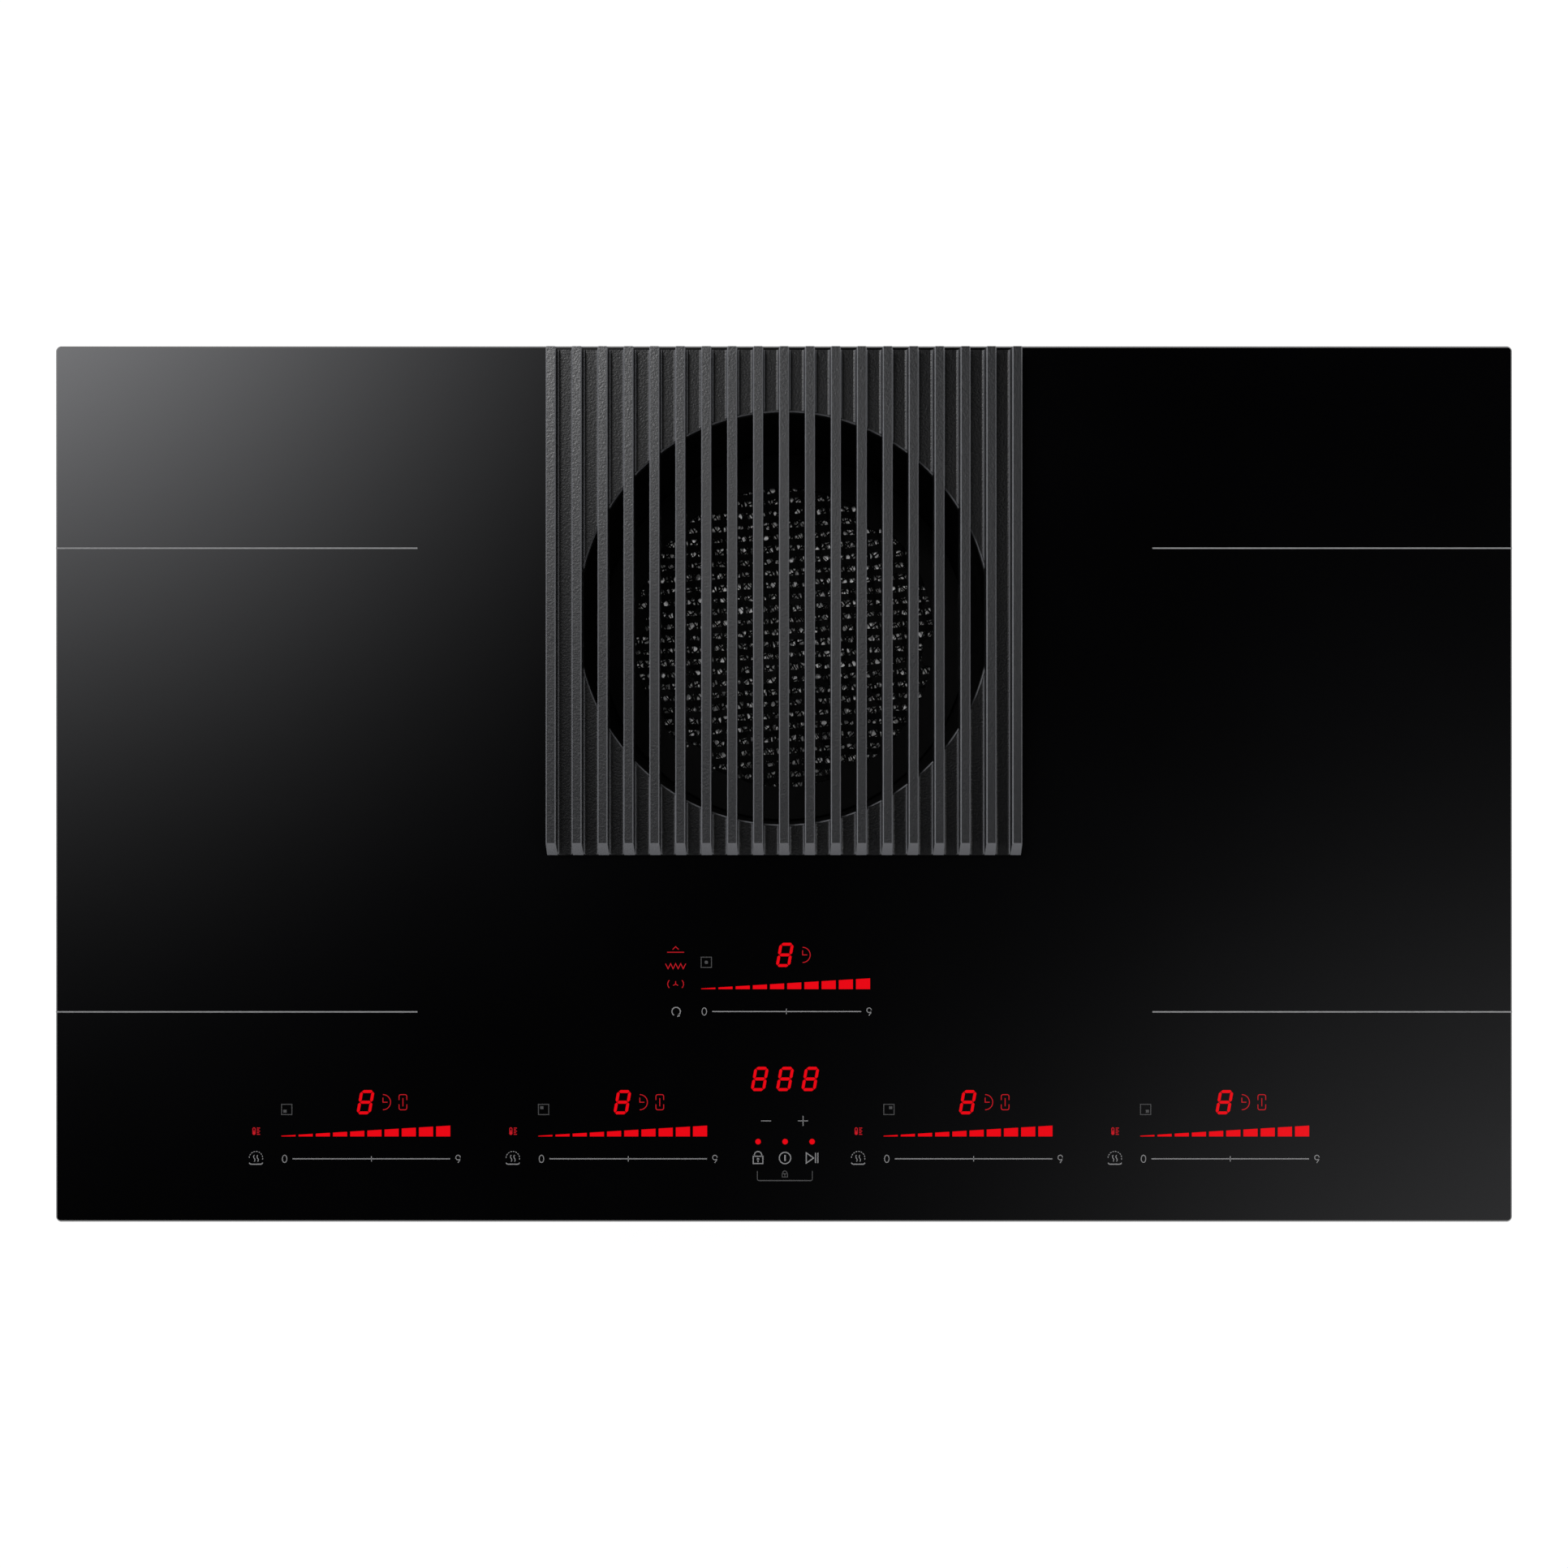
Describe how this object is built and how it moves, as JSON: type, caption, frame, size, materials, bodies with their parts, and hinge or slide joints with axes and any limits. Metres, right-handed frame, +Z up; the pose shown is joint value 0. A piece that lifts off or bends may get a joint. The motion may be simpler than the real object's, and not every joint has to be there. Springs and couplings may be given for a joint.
{
  "type": "induction hob with extractor",
  "caption": "Built-in black glass induction hob with a downdraft extractor: loose ribbed grille over a round inlet, lift-out grease filter and drip tray, side blower and flat duct spigot.",
  "frame": {"origin": "underside of the air box, below the middle of the glass", "axes": "+X to the right along the front edge, +Y to the rear edge, +Z up out of the glass"},
  "size_m": [0.865, 0.52, 0.222],
  "materials": {
    "black_glass": "polished black glass ceramic",
    "grille_coat": "textured dark grey coat",
    "silicone": "soft matte",
    "foam": "closed cell foam",
    "filter_steel": "black coat",
    "filter_net": "bare expanded metal",
    "black_plastic": "moulded, fine grain",
    "tray_plastic": "moulded, smooth",
    "wheel_plastic": "glass filled",
    "zinc_steel": "galvanised sheet",
    "bright_steel": "zinc plated",
    "motor_can": "satin black",
    "coil_metal": "mill finish sheet",
    "former_plastic": "heat resistant",
    "copper_wire": "varnished stranded wire",
    "ferrite": "sintered",
    "mica": "pressed mica",
    "board_green": "solder mask",
    "parts_dark": "sleeved parts",
    "sink_metal": "extruded",
    "white_plastic": "moulded",
    "lamp_module": "light module"
  },
  "bodies": {
    "hob": {"glass_top": "black_glass", "worktop_seal": "foam", "well_seal": "silicone", "filter_well": "black_plastic", "air_box": "black_plastic", "air_box_lid": "black_plastic", "lid_screws": "bright_steel", "inlet_ring": "tray_plastic", "blower_housing": "tray_plastic", "blower_cover": "tray_plastic", "blower_motor": "motor_can", "motor_screws": "bright_steel", "outlet_duct": "tray_plastic", "base_pan": "zinc_steel", "worktop_brackets": "bright_steel", "terminal_block": "white_plastic", "terminal_cover": "black_plastic", "cable_gland": "black_plastic", "heat_sensors": "white_plastic", "plate_posts": "bright_steel", "board_posts": "white_plastic", "control_carrier": "white_plastic", "control_board": "board_green", "control_displays": "lamp_module", "extractor_carrier": "white_plastic", "extractor_board": "board_green", "extractor_display": "lamp_module", "coil_plate_left": "coil_metal", "mica_sheet_left": "mica", "ferrite_bars_left": "ferrite", "power_board_left": "board_green", "heat_sink_left": "sink_metal", "board_parts_left": "parts_dark", "cooling_fan_frame_left": "black_plastic", "coil_former_front_left": "former_plastic", "coil_winding_front_left": "copper_wire", "coil_former_rear_left": "former_plastic", "coil_winding_rear_left": "copper_wire", "coil_plate_right": "coil_metal", "mica_sheet_right": "mica", "ferrite_bars_right": "ferrite", "power_board_right": "board_green", "heat_sink_right": "sink_metal", "board_parts_right": "parts_dark", "cooling_fan_frame_right": "black_plastic", "coil_former_front_right": "former_plastic", "coil_winding_front_right": "copper_wire", "coil_former_rear_right": "former_plastic", "coil_winding_rear_right": "copper_wire"},
    "grille": {"grille": "grille_coat", "grille_pads": "silicone"},
    "filter": {"filter_frame": "filter_steel", "filter_mesh": "filter_net"},
    "tray": {"drip_tray": "tray_plastic"},
    "blower_wheel": {"impeller": "wheel_plastic", "blower_shaft": "bright_steel"},
    "left_fan_wheel": {"cooling_fan_rotor_left": "wheel_plastic"},
    "right_fan_wheel": {"cooling_fan_rotor_right": "wheel_plastic"}
  },
  "joints": [
    {"name": "grille_lift", "type": "slide", "parent": "hob", "child": "grille", "axis": [0, 0, 1], "range_m": [0, 0.36]},
    {"name": "filter_lift", "type": "slide", "parent": "hob", "child": "filter", "axis": [0, 0, 1], "range_m": [0, 0.3]},
    {"name": "tray_lift", "type": "slide", "parent": "hob", "child": "tray", "axis": [0, 0, 1], "range_m": [0, 0.25]},
    {"name": "blower_spin", "type": "hinge", "parent": "hob", "child": "blower_wheel", "pos_m": [0.2, 0.098, 0.068], "axis": [1, 0, 0], "continuous": true},
    {"name": "left_fan_spin", "type": "hinge", "parent": "hob", "child": "left_fan_wheel", "pos_m": [-0.19, -0.191, 0.165], "axis": [0, 0, 1], "continuous": true},
    {"name": "right_fan_spin", "type": "hinge", "parent": "hob", "child": "right_fan_wheel", "pos_m": [0.19, -0.191, 0.165], "axis": [0, 0, 1], "continuous": true}
  ],
  "couplings": [
    {"joint": "filter_lift", "follows": "grille_lift", "ratio": 0.833},
    {"joint": "tray_lift", "follows": "grille_lift", "ratio": 0.694}
  ]
}
